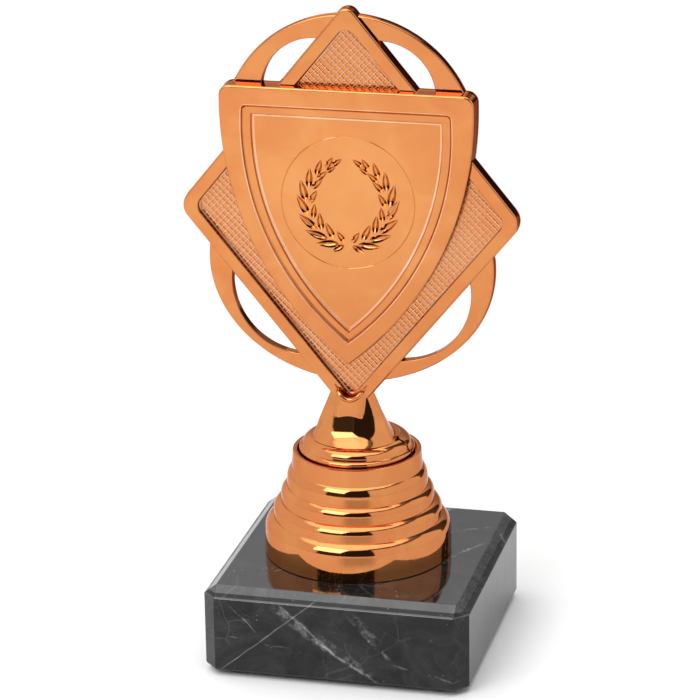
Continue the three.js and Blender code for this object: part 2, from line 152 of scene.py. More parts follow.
# Figure: layers of the plate, as Y positions.
PLATE_BACK = -1.5
PARTING_LEDGE = -2.35
RING_FRONT = -3.3
PANEL_FLOOR = -3.3
DIAMOND_FRONT = -4.3
SHIELD_FRONT = -5.7
BAND_FRONT = -5.25
FIELD_FRONT = -4.5
IN_FRONT_OF_ALL = -12.0
# Sides of the moulding: parting ledge, draft, taper of the back half, edge roundings.
LEDGE_WIDTH = 0.1
DRAFT = 0.09
BACK_TAPER = 0.05
BACK_ROUNDING = 0.15
RING_ROUNDING = 0.22
DIAMOND_ROUNDING = 0.3
SHIELD_ROUNDING = 0.35
WINDOW_ROUNDING = 0.2
# Recesses: the face, the floor, and the edge's rounding, the floor's fillet and the draft.
PANEL_RECESS = (DIAMOND_FRONT, PANEL_FLOOR, 0.18, 0.15, 0.04)
BAND_RECESS = (SHIELD_FRONT, BAND_FRONT, 0.24, 0.35, 0.1)
FIELD_RECESS = (BAND_FRONT, FIELD_FRONT - 0.02, 0.1, 0.3, 0.08)

# Figure: outlines in X and Z.
DIAMOND_CENTRE = 66.9
DIAMOND_NORMAL = math.radians(50.7)
# Distance from the centre to the sides, and the side, top and bottom corners' rounding.
DIAMOND_EDGE = (24.9, 3.2, 1.9, 1.9)
DIAMOND_PANEL = (22.4, 2.0, 2.0, 1.0)
# Centre and radius, or both radii.
RING_UPPER = (0.0, 80.1, 23.7)
RING_UPPER_HALF_CHORD = 21.8
RING_LOWER = (0.0, 57.1, 26.8, 22.65)
WINDOW_UPPER = (5.9, 88.95, 10.25)
WINDOW_LOWER = (9.05, 52.6, 13.4)
# Top height, arc centre in X and Z for the +X side, arc radius, corner rounding.
SHIELD = (90.5, -37.8, 86.8, 61.4, 2.0)
BAND = (86.8, -31.6, 82.8, 51.0, 1.0)
FIELD = (85.2, -31.9, 82.6, 49.6, 0.15)
FIELD_STEP_WIDTH = 0.52

# Waffle pits of the diamond's panel.
PIT_PITCH = 0.976
PIT_DIRECTIONS = (Vector((1, 1)).normalized(), Vector((-1, 1)).normalized())
PIT_ROWS = 42
PIT_MARGIN = 0.22
# Half-width and depth of a pit: its mouth, the foot of its chamfer, and its floor.
PIT_PROFILE = [(0.41, 0.0), (0.375, 0.05), (0.335, 0.22)]

# Emblem seat.
EMBLEM_CENTRE = 69.25
EMBLEM_RADIUS = 12.4
HAIRLINE_RADIUS = 0.1
TWIG_RADII = (8.2, 7.4)
TWIG_ANGLES = (-84, 67)
INNER_LEAF_OFFSET = -0.6
# Leaves of the +X branch: angle of the base, lean away from the branch, length.
OUTER_LEAVES = [
    (-84, 37, 2.5), (-77, 15, 4.2), (-61, 11, 4.3), (-42, 10, 4.3), (-21, 9, 4.4),
    (-2, 12, 4.3), (19, 15, 3.7), (40, 22, 3.1), (57, 24, 2.5), (67, 12, 2.3),
]
INNER_LEAVES = [
    (-85, -50, 2.5), (-69, -43, 3.4), (-48, -41, 3.4), (-27, -34, 2.8),
    (-4, -34, 2.9), (19, -27, 2.9), (35, -14, 2.6), (55, -7, 2.0),
]
LEAF_STATIONS = 14
LEAF_RIBS = 14
LEAF_VALLEY = 0.25

# Finishes of the bronze: rich and light colour, roughness and depth of the specks; for one
# of them also the tint of its glancing reflection and the weight of its lacquer.
BRONZE_FINISHES = [
    ("bronze_metallised", (0.555, 0.186, 0.055, 1), (0.63, 0.265, 0.082, 1), 0.045, 0.25),
    # Painted highlight: a pale copy of the bronze for the steps, edges and ridges that catch the
    # light.
    ("bronze_painted_highlight", (0.78, 0.38, 0.19, 1), (0.90, 0.62, 0.42, 1), 0.32, 0.1),
    ("bronze_waffle", (0.58, 0.2, 0.062, 1), (0.68, 0.29, 0.1, 1), 0.15, 0.2),
    # Painted shade: a darker copy of the bronze for walls turned away from the light.
    ("bronze_painted_shade", (0.27, 0.115, 0.075, 1), (0.42, 0.2, 0.14, 1), 0.12, 0.4,
     (0.42, 0.24, 0.19, 1), 0.05),
]
PLATED, PAINTED_HIGHLIGHT, WAFFLE, PAINTED_SHADE = range(4)

# Fasteners.
HEX_FLATS = 8.0
BOLT_HEAD_HEIGHT = 3.5
THREAD_CORE = 2.05
THREAD_CREST = 2.42
THREAD_PITCH = 0.8
PLAIN_SHANK = 4
WASHER_HOLE = 2.65
SPRING_SLIT = 0.6
NUT_BORE = 2.5

# Camera: azimuth, elevation and roll in degrees; its distance, and how far its axis passes
# beside and above the bolt's axis at the block's underside, in mm.
CAMERA_ANGLES = (14.03, 19.56, -0.82)
CAMERA_DISTANCE = 629.2
CAMERA_SHIFT = (-1.06, 52.63)
CAMERA_LENS = 169.7
CAMERA_SENSOR = 36
# Softboxes: azimuth, elevation, distance and size in metres, power in watts.
SOFTBOXES = [
    ("key_softbox", -26.5, 41, 0.6, (0.355, 0.31), 1.5),
    ("top_softbox", -60, 78, 1.1, (0.9, 0.9), 1.0),
]
# Dark parts of the light tent: sides in azimuth, softness of those, elevations between
# which they end (in degrees), and darkness. The opening's top rises to its right.
OPENING = ((-8, 33), 1.5, (45, 48), 1.0)
OPENING_SLOPE = 0.25
LOW_LEFT = ((-38, -6), 2, (26, 28), 0.97)
GAP = ((138, 160), 2, (55, 62), 0.93)
# The seam: sides and height, each with its softness, and darkness.
SEAM = ((30, 150, 4), (47, 57, 2), 0.85)
ROOF = (49, 56)
# Light of the tent's wall, what its roof adds and what its back loses.
WALL_LIGHT = 1.2
ROOF_LIGHT = 1.2
BACK_LOSS = 0.78
# The painted shadow on the floor in front, where it leaves the light tent: its sides in azimuth
# (radians) and its reach in metres, each with its softness.
PAINTED_SHADOW_SIDES = (-0.1, 0.55, 0.12)
PAINTED_SHADOW_REACH = (0.085, 0.125, 0.015)
FLOOR_REACH = 4.0

ROUND_STEPS = 160
SMALL_ROUND_STEPS = 48
FINE_ROUND_STEPS = 192


# ------------------------------------------------------------------ outlines


def arc(centre, radii, start, stop, steps):
    points = []
    for i in range(steps + 1):
        angle = start + (stop - start) * i / steps
        points.append((centre[0] + radii[0] * math.cos(angle),
                       centre[1] + radii[1] * math.sin(angle)))
    return points


def ellipse(centre, radii, steps=ROUND_STEPS):
    return arc(centre, radii, 0, 2 * math.pi, steps)[:-1]


def rhombus(reach, side_rounding, top_rounding, bottom_rounding, steps=10):
    side = (reach - side_rounding) / math.sin(DIAMOND_NORMAL)
    top = (reach - top_rounding) / math.cos(DIAMOND_NORMAL)
    bottom = (reach - bottom_rounding) / math.cos(DIAMOND_NORMAL)
    slant = math.pi / 2 - DIAMOND_NORMAL
    corners = [
        ((side, DIAMOND_CENTRE), side_rounding, -slant, slant),
        ((0, DIAMOND_CENTRE + top), top_rounding, slant, math.pi - slant),
        ((-side, DIAMOND_CENTRE), side_rounding, math.pi - slant, math.pi + slant),
        ((0, DIAMOND_CENTRE - bottom), bottom_rounding, math.pi + slant, 2 * math.pi - slant),
    ]
    points = []
    for centre, rounding, start, stop in corners:
        points += arc(centre, (rounding, rounding), start, stop, steps)
    return points


def shield(top, arc_x, arc_z, radius, rounding, side_steps=56, corner_steps=8):
    fillet_z = top - rounding
    fillet_x = arc_x + math.sqrt((radius - rounding) ** 2 - (fillet_z - arc_z) ** 2)
    start = math.atan2(fillet_z - arc_z, fillet_x - arc_x)
    tip = -math.acos(-arc_x / radius)
    right = arc((arc_x, arc_z), (radius, radius), tip, start, side_steps)[:-1]
    right += arc((fillet_x, fillet_z), (rounding, rounding), start, math.pi / 2, corner_steps)
    left = [(-x, z) for x, z in reversed(right)]
    return right + left[:-1]


def inset(outline, distance):
    """The outline moved inwards by a distance, with mitred corners."""
    moved = []
    count = len(outline)
    for i, point in enumerate(outline):
        here = Vector(point)
        before = (here - Vector(outline[i - 1])).normalized()
        after = (Vector(outline[(i + 1) % count]) - here).normalized()
        normal_before = Vector((before.y, -before.x))
        normal_after = Vector((after.y, -after.x))
        mitre = (normal_before + normal_after) / (1 + normal_before.dot(normal_after))
        moved.append(tuple(here - mitre * distance))
    return moved


def outer_round(radius, surface, direction, steps=4):
    """Inset and Y pairs of a rounded edge, from the side wall on to a face at Y = surface.

    direction is 1 where the solid lies towards +Y of the face and -1 where it lies
    towards -Y."""
    pairs = []
    for i in range(steps + 1):
        angle = math.pi / 2 * i / steps
        pairs.append((radius * (1 - math.cos(angle)),
                      surface + direction * radius * (1 - math.sin(angle))))
    return pairs


def shift(pairs, distance):
    return [(edge + distance, y) for edge, y in pairs]


def hole_profile(surface, floor, edge_rounding, fillet, draft, steps=4):
    """Inset and Y pairs of a recess, from the face at Y = surface down to its floor."""
    pairs = [(-edge, y) for edge, y in reversed(outer_round(edge_rounding, surface, 1))]
    for i in range(steps + 1):
        angle = math.pi / 2 * i / steps
        pairs.append((draft + fillet * (1 - math.cos(angle)),
                      floor - fillet * (1 - math.sin(angle))))
    return pairs


# ------------------------------------------------------------------- solids


def solid(name, vertices, faces):
    mesh = bpy.data.meshes.new(name)
    mesh.from_pydata([tuple(v) for v in vertices], [], faces)
    work = bmesh.new()
    work.from_mesh(mesh)
    bmesh.ops.remove_doubles(work, verts=work.verts, dist=1e-5)
    bmesh.ops.recalc_face_normals(work, faces=work.faces)
    work.to_mesh(mesh)
    work.free()
    piece = bpy.data.objects.new(name, mesh)
    bpy.context.scene.collection.objects.link(piece)
    return piece


def lofted(name, loops, ring=False):
    """A solid through closed loops of points. A ring joins its last loop to its first;
    any other loft is closed by its first and last loops."""
    count = len(loops[0])
    vertices = [point for loop in loops for point in loop]
    faces = []
    spans = len(loops) if ring else len(loops) - 1
    for i in range(spans):
        low = i * count
        high = (i + 1) % len(loops) * count
        for j in range(count):
            k = (j + 1) % count
            faces.append((low + j, low + k, high + k, high + j))
    if not ring:
        faces.append(tuple(range(count)))
        faces.append(tuple((len(loops) - 1) * count + j for j in range(count)))
    return solid(name, vertices, faces)


def standing(outline, profile):
    """Loops of an outline in X and Z, one for each inset and Y of the profile."""
    return [[(x, y, z) for x, z in inset(outline, edge)] for edge, y in profile]


def upright(name, outline, profile):
    """A solid whose outline stands in X and Z, with an inset for each Y of the profile."""
    return lofted(name, standing(outline, profile))


def turned(name, profile, steps=ROUND_STEPS):
    """A solid turned about Z from radius and height pairs that start and end on the
    axis, or that go round a closed section."""
    on_axis = profile[0][0] == 0
    body = profile[1:-1] if on_axis else profile
    loops = [[(x, y, z) for x, y in ellipse((0, 0), (r, r), steps)] for r, z in body]
    return lofted(name, loops, ring=not on_axis)


def cylinder(name, radius, low, high):
    profile = [(0, low), (radius, low), (radius, high), (0, high)]
    return turned(name, profile, SMALL_ROUND_STEPS)


def hexagonal(name, across_flats, low, high):
    radius = across_flats / math.sqrt(3)
    corners = ellipse((0, 0), (radius, radius), 6)
    return lofted(name, [[(x, y, z) for x, y in corners] for z in (low, high)])


def combine(target, tool, operation):
    modifier = target.modifiers.new("combine", "BOOLEAN")
    modifier.object = tool
    modifier.operation = operation
    modifier.solver = "MANIFOLD"
    graph = bpy.context.evaluated_depsgraph_get()
    mesh = bpy.data.meshes.new_from_object(target.evaluated_get(graph))
    target.modifiers.clear()
    old = target.data
    target.data = mesh
    bpy.data.meshes.remove(old)
    bpy.data.meshes.remove(tool.data)
    return target


def add(target, tool):
    return combine(target, tool, "UNION")


def cut(target, tool):
    return combine(target, tool, "DIFFERENCE")


def merged(name, solids):
    """Solids that lie apart from each other, as one object."""
    work = bmesh.new()
    for piece in solids:
        work.from_mesh(piece.data)
        bpy.data.meshes.remove(piece.data)
    mesh = bpy.data.meshes.new(name)
    work.to_mesh(mesh)
    work.free()
    whole = bpy.data.objects.new(name, mesh)
    bpy.context.scene.collection.objects.link(whole)
    return whole


def finish_piece(piece, materials, node, lift=0.0, crease=32, choose=None):
    """Shades a solid, scales it to metres and lets it stand for a CAD node. choose gives
    the index of a face's material from its centre and its normal."""
    mesh = piece.data
    mesh.materials.clear()
    for material in materials:
        mesh.materials.append(material)
    for face in mesh.polygons:
        face.material_index = choose(face.center, face.normal) if choose else 0
    mesh.transform(Matrix.Translation((0, 0, lift)))
    mesh.transform(Matrix.Scale(MM, 4))
    mesh.shade_smooth()
    mesh.set_sharp_from_angle(angle=math.radians(crease))
    weighting = piece.modifiers.new("weighting", "WEIGHTED_NORMAL")
    weighting.keep_sharp = True
    graph = bpy.context.evaluated_depsgraph_get()
    shaded = bpy.data.meshes.new_from_object(piece.evaluated_get(graph))
    piece.modifiers.clear()
    piece.data = shaded
    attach(piece, BODY)
    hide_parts(node)
    return piece


# ---------------------------------------------------------------- materials


class Nodes:
    """Builds a node tree in a few readable calls."""

    def __init__(self, tree):
        self.tree = tree

    def node(self, kind, inputs=(), **settings):
        node = self.tree.nodes.new(kind)
        for key, value in settings.items():
            setattr(node, key, value)
        for key, value in dict(inputs).items():
            self.feed(node.inputs[key], value)
        return node

    def feed(self, socket, value):
        if isinstance(value, bpy.types.NodeSocket):
            self.tree.links.new(value, socket)
        else:
            socket.default_value = value

    def math(self, operation, first, second=0.0, third=0.0):
        node = self.node("ShaderNodeMath", {0: first, 1: second, 2: third}, operation=operation)
        return node.outputs[0]

    def smooth(self, value, low, high, start=0.0, stop=1.0):
        node = self.node(
            "ShaderNodeMapRange",
            {"Value": value, "From Min": low, "From Max": high, "To Min": start, "To Max": stop},
            interpolation_type="SMOOTHSTEP",
        )
        return node.outputs["Result"]

    def noise(self, vector, scale, detail=2.0, roughness=0.5, distortion=0.0):
        node = self.node(
            "ShaderNodeTexNoise",
            {"Vector": vector, "Scale": scale, "Detail": detail, "Roughness": roughness,
             "Distortion": distortion},
        )
        return node.outputs["Fac"]

    def mix(self, factor, first, second):
        node = self.node("ShaderNodeMix", data_type="RGBA")
        self.feed(node.inputs["Factor"], factor)
        self.feed(node.inputs[6], first)
        self.feed(node.inputs[7], second)
        return node.outputs[2]

    def product(self, first, *others):
        for value in others:
            first = self.math("MULTIPLY", first, value)
        return first

    def vector(self, operation, first, second=(0, 0, 0)):
        inputs = {0: first, 1: second}
        return self.node("ShaderNodeVectorMath", inputs, operation=operation).outputs

    def dot(self, first, second):
        return self.vector("DOT_PRODUCT", first, tuple(second))["Value"]

    def cells(self, vector, scale, feature="F1"):
        inputs = {"Vector": vector, "Scale": scale}
        node = self.node("ShaderNodeTexVoronoi", inputs, feature=feature)
        return node.outputs["Distance"]

    def azimuth(self, x, y):
        """The angle of a direction about Z, from -Y towards +X, in radians."""
        return self.math("ARCTAN2", x, self.math("MULTIPLY", y, -1))

    def between(self, value, low, high, soft):
        rise = self.smooth(value, low - soft, low + soft)
        fall = self.smooth(value, high - soft, high + soft, 1.0, 0.0)
        return self.product(rise, fall)

    def bump(self, height, distance, strength=1.0, normal=None):
        inputs = {"Height": height, "Distance": distance, "Strength": strength}
        if normal is not None:
            inputs["Normal"] = normal
        return self.node("ShaderNodeBump", inputs).outputs["Normal"]


def new_material(name):
    """A material with its node builder, its shader and the place on the object."""
    material = bpy.data.materials.new(name)
    material.use_nodes = True
    material.node_tree.nodes.clear()
    nodes = Nodes(material.node_tree)
    shader = nodes.node("ShaderNodeBsdfPrincipled")
    nodes.node("ShaderNodeOutputMaterial", {"Surface": shader.outputs[0]})
    place = nodes.node("ShaderNodeTexCoord").outputs["Object"]
    return material, nodes, shader, place


def feed_colour(nodes, shader, factor, first, second):
    nodes.feed(shader.inputs["Base Color"], nodes.mix(factor, first, second))


def feed_roughness(nodes, shader, value, span, roughness):
    """Lets the roughness run over its range while a value runs over its span."""
    nodes.feed(shader.inputs["Roughness"], nodes.smooth(value, *span, *roughness))


def bronze_material(name, rich, light, roughness, polish, glance=(0.75, 0.5, 0.42, 1),
                    coat=0.25):
    """Metallised plastic under a tinted lacquer: clouded colour, yellower round the
    emblem, with a faint orange peel and tiny specks."""
    material, nodes, shader, place = new_material(name)
    clouds = nodes.noise(place, 130, detail=3, roughness=0.55, distortion=0.6)
    emblem = Vector((0, FIELD_FRONT, BLOCK_TOP + EMBLEM_CENTRE)) * MM
    offset = nodes.vector("DISTANCE", place, tuple(emblem))["Value"]
    near = nodes.smooth(offset, 0.004, 0.026, 0.75, 0.0)
    warm = nodes.math("ADD", nodes.smooth(clouds, 0.35, 0.7, 0.0, 0.45), near)
    feed_colour(nodes, shader, nodes.math("MINIMUM", warm, 1.0), rich, light)
    feed_roughness(nodes, shader, clouds, (0.3, 0.75), (roughness * 0.8, roughness * 1.3))
    specks = nodes.smooth(nodes.cells(place, 3200), 0.05, 0.3, 1.0, 0.0)
    fine = nodes.bump(specks, 0.00001, polish)
    peel = nodes.noise(place, 420, detail=1)
    nodes.feed(shader.inputs["Normal"], nodes.bump(peel, 0.00004, 0.22, fine))
    shader.inputs["Metallic"].default_value = 1.0
    shader.inputs["Specular Tint"].default_value = glance
    shader.inputs["Coat Weight"].default_value = coat
    shader.inputs["Coat Roughness"].default_value = 0.03
    shader.inputs["Coat IOR"].default_value = 1.5
    return material


def vein(nodes, place, start, stop, lean, width, wobble, strength, patch_scale, thinnest):
    """One vein: a bent sheet through the stone that crosses its front face from start to
    stop (X and Z) and leans by (X, Z) for each millimetre of depth. It is patchy, down to
    the thinnest share of its strength."""
    low = Vector((start[0], BLOCK_LOW.y, start[1]))
    run = Vector((stop[0], BLOCK_LOW.y, stop[1])) - low
    normal = run.cross(Vector((lean[0], 1, lean[1]))).normalized()
    heading = run.normalized()
    bend = nodes.math("SUBTRACT", nodes.noise(place, 90, detail=6), 0.5)
    straight = nodes.math("SUBTRACT", nodes.dot(place, normal), low.dot(normal) * MM)
    off_sheet = nodes.math("MULTIPLY_ADD", bend, wobble * MM, straight)
    line = nodes.smooth(nodes.math("ABSOLUTE", off_sheet), 0.0, width * MM, 1.0, 0.0)
    along = nodes.math("SUBTRACT", nodes.dot(place, heading), low.dot(heading) * MM)
    ends = nodes.between(along, 0.0, run.length * MM, 1.5 * MM)
    patches = nodes.noise(place, patch_scale, detail=5, roughness=0.7)
    return nodes.product(line, ends, nodes.smooth(patches, 0.42, 0.62, thinnest, 1.0), strength)


def vein_net(nodes, place, scale, width, strength, cover):
    """Faint hair veins that meet like cracks, in some parts of the stone only."""
    warp = nodes.node("ShaderNodeTexNoise", {"Vector": place, "Scale": 120, "Detail": 3})
    spread = nodes.vector("MULTIPLY", warp.outputs["Color"], (0.004, 0.004, 0.004))[0]
    moved = nodes.vector("ADD", place, spread)[0]
    line = nodes.smooth(nodes.cells(moved, scale, "DISTANCE_TO_EDGE"), 0.0, width, 1.0, 0.0)
    patches = nodes.smooth(nodes.noise(place, 70, detail=2), cover, cover + 0.12)
    return nodes.product(line, patches, strength)


def marble_material(name, roughness, grain_depth, shine, tone):
    """Black marble: clouded charcoal, a few white veins, hair veins and pale specks."""
    material, nodes, shader, place = new_material(name)
    clouds = nodes.noise(place, 110, detail=7, roughness=0.66, distortion=1.2)
    dark = (0.007 * tone, 0.0073 * tone, 0.0076 * tone, 1)
    pale = (0.028 * tone, 0.0285 * tone, 0.029 * tone, 1)
    stone = nodes.mix(nodes.smooth(clouds, 0.3, 0.75), dark, pale)
    rare = nodes.smooth(nodes.noise(place, 200, detail=3), 0.5, 0.7)
    white = nodes.product(nodes.smooth(nodes.cells(place, 900), 0.05, 0.16, 0.4, 0.0), rare)
    for values in VEINS:
        white = nodes.math("ADD", white, vein(nodes, place, *values))
    for values in VEIN_NETS:
        white = nodes.math("ADD", white, vein_net(nodes, place, *values))
    feed_colour(nodes, shader, nodes.math("MINIMUM", white, 1.0), stone, (0.6, 0.61, 0.6, 1))
    patch = nodes.noise(place, 240, detail=3)
    feed_roughness(nodes, shader, patch, (0.3, 0.7), (roughness * 0.8, roughness * 1.3))
    grain = nodes.noise(place, 1500, detail=2)
    nodes.feed(shader.inputs["Normal"], nodes.bump(grain, 0.00003, grain_depth))
    shader.inputs["IOR"].default_value = 1.5
    shader.inputs["Specular IOR Level"].default_value = shine
    return material


def zinc_material():
    material, nodes, shader, place = new_material("zinc_plated_steel")
    tone = nodes.noise(place, 500, detail=4)
    feed_colour(nodes, shader, tone, (0.42, 0.43, 0.45, 1), (0.66, 0.67, 0.68, 1))
    feed_roughness(nodes, shader, tone, (0.3, 0.7), (0.24, 0.4))
    nodes.feed(shader.inputs["Normal"], nodes.bump(nodes.noise(place, 1600), 0.00003, 0.3))
    shader.inputs["Metallic"].default_value = 1.0
    return material


def felt_material():
    material, nodes, shader, place = new_material("black_felt")
    fibres = nodes.noise(place, 3500, detail=5, roughness=0.8, distortion=2)
    feed_colour(nodes, shader, fibres, (0.008, 0.008, 0.009, 1), (0.05, 0.05, 0.052, 1))
    feed_roughness(nodes, shader, fibres, (0.2, 0.8), (0.85, 1.0))
    nodes.feed(shader.inputs["Normal"], nodes.bump(fibres, 0.0002, 0.8))
    shader.inputs["Sheen Weight"].default_value = 0.3
    return material


def floor_material():
    """White board with a painted shadow in front, towards the tent's opening."""
    material, nodes, shader, place = new_material("studio_floor")
    tone = nodes.noise(place, 6, detail=2)
    white = nodes.mix(tone, (0.70, 0.70, 0.70, 1), (0.73, 0.73, 0.73, 1))
    x, y, _ = nodes.node("ShaderNodeSeparateXYZ", {0: place}).outputs
    # Painted shadow: a sector in front of the object is darkened, out towards the opening.
    sides = nodes.between(nodes.azimuth(x, y), *PAINTED_SHADOW_SIDES)
    reach = nodes.between(nodes.vector("LENGTH", place)["Value"], *PAINTED_SHADOW_REACH)
    feed_colour(nodes, shader, nodes.product(sides, reach, 0.5), white, (0.15, 0.15, 0.15, 1))
    shader.inputs["Roughness"].default_value = 0.7
    shader.inputs["Specular IOR Level"].default_value = 0.2
    return material


# -------------------------------------------------------------- marble base


def block_section(height, edge):
    half = (BLOCK_HIGH.x - BLOCK_LOW.x) / 2 - edge
    inner = (BLOCK_HIGH.x - BLOCK_LOW.x) / 2 - max(CORNER_CHAMFER, edge)
    corners = [
        (half, -inner), (half, inner), (inner, half), (-inner, half),
        (-half, inner), (-half, -inner), (-inner, -half), (inner, -half),
    ]
    return [(x + BLOCK_CENTRE.x, y + BLOCK_CENTRE.y, height) for x, y in corners]


def marble_finish(centre, normal):
    """Polished top, ground sides, and between them coarser chamfers with a dull strip."""
    if normal.z > 0.95:
        return POLISHED
    if normal.z < 0.3:
        return GROUND
    share = (BLOCK_TOP - centre.z) / TOP_CHAMFER_DROP
    return DULL_CHAMFER if DULL_STRIP[0] < share < DULL_STRIP[1] else CHAMFER


def make_marble_base(materials):
    sections = [(PAD_TOP, BOTTOM_CHAMFER), (PAD_TOP + BOTTOM_CHAMFER, 0)]
    for share in (1, DULL_STRIP[1], DULL_STRIP[0], 0):
        sections.append((BLOCK_TOP - share * TOP_CHAMFER_DROP, (1 - share) * TOP_CHAMFER_WIDTH))
    block = lofted("marble_block", [block_section(height, edge) for height, edge in sections])
    work = bmesh.new()
    work.from_mesh(block.data)
    edges = [edge for edge in work.edges if edge.calc_face_angle() > 0.1]
    bmesh.ops.bevel(work, geom=edges, offset=EDGE_BEVEL, segments=2, profile=0.5, affect="EDGES")
    work.to_mesh(block.data)
    work.free()
    cut(block, cylinder("hole", BLOCK_HOLE_RADIUS, 0, BLOCK_TOP + 1))
    cut(block, cylinder("counterbore", COUNTERBORE_RADIUS, 0, PAD_TOP + COUNTERBORE_DEPTH))
    finish_piece(block, materials, "marble_base", crease=25, choose=marble_finish)


# -------------------------------------------------------------------- riser


def shoulder(radius, wall_top, shoulder_top, next_radius, steps=14):
    """Radius and height pairs of a rounded shoulder that leaves its wall without a crease."""
    width = (radius - next_radius) / (1 - math.cos(SHOULDER_SWEEP))
    height = (shoulder_top - wall_top) / math.sin(SHOULDER_SWEEP)
    points = []
    for i in range(steps + 1):
        angle = SHOULDER_SWEEP * i / steps
        points.append((radius - width * (1 - math.cos(angle)),
                       wall_top + height * math.sin(angle)))
    return points


def riser_outside():
    """Radius and height pairs from the riser's foot up to its collar."""
    edge = 0.12
    profile = [(TIERS[0][0] - edge, SEAT_GAP), (TIERS[0][0], SEAT_GAP + edge)]
    next_radii = [radius for radius, _, _ in TIERS[1:]] + [COLLAR_RADIUS]
    wall_foot = 0
    for (radius, wall_top, shoulder_top), next_radius in zip(TIERS, next_radii):
        drafted = radius - WALL_DRAFT * (wall_top - wall_foot)
        if wall_foot == 0:
            bent = wall_top - WALL_STRAIGHT
            drafted = radius - WALL_CURVE * bent ** 2
            for k in range(9):
                rise = bent * k / 9
                profile.append((radius - WALL_CURVE * rise * rise, WALL_STRAIGHT + rise))
        profile += shoulder(drafted, wall_top, shoulder_top, next_radius)
        profile.append((next_radius, shoulder_top + 0.05))
        wall_foot = shoulder_top
    return profile


def make_riser(material):
    skirt_inside = TIERS[0][0] - SKIRT_WALL
    profile = riser_outside() + [
        (RIM_RADIUS, RIM_HEIGHT - 0.2),
        (RIM_RADIUS - 0.06, RIM_HEIGHT - 0.06),
        (RIM_RADIUS - 0.2, RIM_HEIGHT),
        (SOCKET_RADIUS + 0.12, RIM_HEIGHT),
        (SOCKET_RADIUS + 0.03, RIM_HEIGHT - 0.03),
        (SOCKET_RADIUS, RIM_HEIGHT - 0.12),
        (SOCKET_RADIUS, SOCKET_FLOOR),
        (BORE_RADIUS, SOCKET_FLOOR),
        (BORE_RADIUS, SEAT_GAP),
        (HUB_RADIUS, SEAT_GAP),
        (HUB_RADIUS, DECK_UNDERSIDE),
        (SOCKET_RADIUS - 0.7, DECK_UNDERSIDE),
        (skirt_inside, TIERS[0][1] - SKIRT_WALL / 2),
        (skirt_inside, SEAT_GAP),
    ]
    riser = turned("riser_shell", profile, FINE_ROUND_STEPS)
    finish_piece(riser, [material], "riser", BLOCK_TOP)


# ------------------------------------------------------------------- figure


def side_profile(front, rounding):
    """A moulded slab's side, from its back to its front: the back half is a little
    larger than the front half, so the mould's parting line shows as a narrow ledge."""
    profile = list(reversed(outer_round(BACK_ROUNDING, PLATE_BACK, -1, 3)))
    profile = shift(profile, BACK_TAPER - LEDGE_WIDTH)
    profile += [(-LEDGE_WIDTH, PARTING_LEDGE), (0, PARTING_LEDGE)]
    profile += shift(outer_round(rounding, front, 1), DRAFT)
    return profile


def make_ring():
    x, z, radius = RING_UPPER
    start = math.acos(RING_UPPER_HALF_CHORD / radius)
    upper = arc((x, z), (radius, radius), start, math.pi - start, 120)
    lower = ellipse(RING_LOWER[:2], RING_LOWER[2:])
    profile = side_profile(RING_FRONT, RING_ROUNDING)
    ring = add(upright("ring", upper, profile), upright("ring_lower", lower, profile))
    just_above = RING_FRONT - 0.003
    rounded = outer_round(WINDOW_ROUNDING, just_above, 1)
    profile = [(-WINDOW_ROUNDING, just_above - 1)]
    profile += [(-edge, y) for edge, y in reversed(rounded)]
    profile += [(0, PLATE_BACK + 1)]
    for x, z, radius in (WINDOW_UPPER, WINDOW_LOWER):
        for side in (1, -1):
            outline = ellipse((side * x, z), (radius, radius), 120)
            cut(ring, upright("window", outline, profile))
    return ring


def shield_depth(x, z, shape):
    """How far a point lies inside a shield outline."""
    top, arc_x, arc_z, radius, _ = shape
    return min(top - z, radius - math.hypot(abs(x) - arc_x, z - arc_z))


def panel_depth(x, z):
    """How far a point lies inside the diamond's panel."""
    across, up = abs(x), abs(z - DIAMOND_CENTRE)
    return DIAMOND_PANEL[0] - across * math.sin(DIAMOND_NORMAL) - up * math.cos(DIAMOND_NORMAL)


def waffle_pits():
    """Small square pits in rows at 45 degrees, cut off by the panel's outline."""
    along, across = PIT_DIRECTIONS
    pits = []
    for i in range(-PIT_ROWS, PIT_ROWS + 1):
        for j in range(-PIT_ROWS, PIT_ROWS + 1):
            centre = (along * i + across * j) * PIT_PITCH + Vector((0, DIAMOND_CENTRE))
            if panel_depth(*centre) < -PIT_PITCH or shield_depth(*centre, SHIELD) > PIT_PITCH:
                continue
            loops = []
            for half, depth in [(PIT_PROFILE[0][0], -0.05)] + PIT_PROFILE:
                corners = [centre + (along * a + across * b) * half
                           for a, b in ((1, 1), (-1, 1), (-1, -1), (1, -1))]
                loops.append([(c.x, PANEL_FLOOR + depth, c.y) for c in corners])
            pits.append(lofted("pit", loops))
    panel = inset(rhombus(*DIAMOND_PANEL), PIT_MARGIN)
    region = upright("panel", panel, [(0, IN_FRONT_OF_ALL), (0, 0)])
    return combine(merged("pits", pits), region, "INTERSECT")


def make_diamond():
    loops = standing(rhombus(*DIAMOND_EDGE), side_profile(DIAMOND_FRONT, DIAMOND_ROUNDING))
    loops += standing(rhombus(*DIAMOND_PANEL), hole_profile(*PANEL_RECESS))
    return lofted("diamond", loops)


